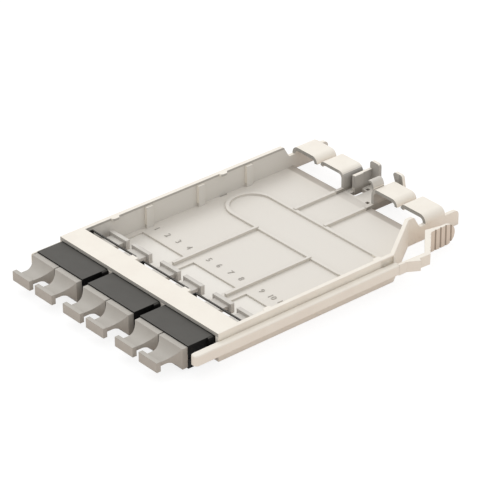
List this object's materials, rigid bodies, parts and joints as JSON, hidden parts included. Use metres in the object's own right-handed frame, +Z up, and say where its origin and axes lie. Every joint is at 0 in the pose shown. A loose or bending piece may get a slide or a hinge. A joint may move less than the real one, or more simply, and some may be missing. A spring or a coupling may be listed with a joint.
{
  "type": "fibre patch module",
  "caption": "Flat open fibre tray with a row of quad adapters across its front, dust caps on both sides, rear cable guide hooks, side rails and a springy side latch.",
  "frame": {"origin": "on the flat underside, midway across the tray and 52 mm behind the front edge of its strap", "axes": "+X to the right seen from the front, +Y from the adapters to the rear guides, +Z up"},
  "size_m": [0.0966, 0.1505, 0.0122],
  "materials": {
    "tray_plastic": "satin",
    "adapter_plastic": "satin",
    "front_cap_plastic": "satin",
    "rear_cap_plastic": "satin",
    "sleeve_ceramic": "polished"
  },
  "bodies": {
    "module": {"tray": "tray_plastic", "rear_frame": "tray_plastic", "guide_hook_1": "tray_plastic", "guide_hook_2": "tray_plastic", "guide_hook_3": "tray_plastic", "guide_hook_4": "tray_plastic", "adapter_front_1": "adapter_plastic", "adapter_rear_1": "adapter_plastic", "adapter_front_2": "adapter_plastic", "adapter_rear_2": "adapter_plastic", "adapter_front_3": "adapter_plastic", "adapter_rear_3": "adapter_plastic", "sleeve_1": "sleeve_ceramic", "sleeve_2": "sleeve_ceramic", "sleeve_3": "sleeve_ceramic", "sleeve_4": "sleeve_ceramic", "sleeve_5": "sleeve_ceramic", "sleeve_6": "sleeve_ceramic", "sleeve_7": "sleeve_ceramic", "sleeve_8": "sleeve_ceramic", "sleeve_9": "sleeve_ceramic", "sleeve_10": "sleeve_ceramic", "sleeve_11": "sleeve_ceramic", "sleeve_12": "sleeve_ceramic"},
    "latch": {"latch": "tray_plastic"},
    "front_cap_1": {"front_cap_1": "front_cap_plastic"},
    "front_cap_2": {"front_cap_2": "front_cap_plastic"},
    "front_cap_3": {"front_cap_3": "front_cap_plastic"},
    "front_cap_4": {"front_cap_4": "front_cap_plastic"},
    "front_cap_5": {"front_cap_5": "front_cap_plastic"},
    "front_cap_6": {"front_cap_6": "front_cap_plastic"},
    "rear_cap_1": {"rear_cap_1": "rear_cap_plastic"},
    "rear_cap_2": {"rear_cap_2": "rear_cap_plastic"},
    "rear_cap_3": {"rear_cap_3": "rear_cap_plastic"},
    "rear_cap_4": {"rear_cap_4": "rear_cap_plastic"},
    "rear_cap_5": {"rear_cap_5": "rear_cap_plastic"},
    "rear_cap_6": {"rear_cap_6": "rear_cap_plastic"}
  },
  "joints": [
    {"name": "latch_flex", "type": "hinge", "parent": "module", "child": "latch", "pos_m": [0.04645, 0.0288, 0.0063], "axis": [0, 0, 1], "range_deg": [0, 9], "stiffness_Nm_per_rad": 0.1},
    {"name": "front_cap_1_pull", "type": "slide", "parent": "module", "child": "front_cap_1", "axis": [0, -1, 0], "range_m": [0, 0.012]},
    {"name": "front_cap_2_pull", "type": "slide", "parent": "module", "child": "front_cap_2", "axis": [0, -1, 0], "range_m": [0, 0.012]},
    {"name": "front_cap_3_pull", "type": "slide", "parent": "module", "child": "front_cap_3", "axis": [0, -1, 0], "range_m": [0, 0.012]},
    {"name": "front_cap_4_pull", "type": "slide", "parent": "module", "child": "front_cap_4", "axis": [0, -1, 0], "range_m": [0, 0.012]},
    {"name": "front_cap_5_pull", "type": "slide", "parent": "module", "child": "front_cap_5", "axis": [0, -1, 0], "range_m": [0, 0.012]},
    {"name": "front_cap_6_pull", "type": "slide", "parent": "module", "child": "front_cap_6", "axis": [0, -1, 0], "range_m": [0, 0.012]},
    {"name": "rear_cap_1_pull", "type": "slide", "parent": "module", "child": "rear_cap_1", "axis": [0, 1, 0], "range_m": [0, 0.008]},
    {"name": "rear_cap_2_pull", "type": "slide", "parent": "module", "child": "rear_cap_2", "axis": [0, 1, 0], "range_m": [0, 0.008]},
    {"name": "rear_cap_3_pull", "type": "slide", "parent": "module", "child": "rear_cap_3", "axis": [0, 1, 0], "range_m": [0, 0.008]},
    {"name": "rear_cap_4_pull", "type": "slide", "parent": "module", "child": "rear_cap_4", "axis": [0, 1, 0], "range_m": [0, 0.008]},
    {"name": "rear_cap_5_pull", "type": "slide", "parent": "module", "child": "rear_cap_5", "axis": [0, 1, 0], "range_m": [0, 0.008]},
    {"name": "rear_cap_6_pull", "type": "slide", "parent": "module", "child": "rear_cap_6", "axis": [0, 1, 0], "range_m": [0, 0.008]}
  ]
}
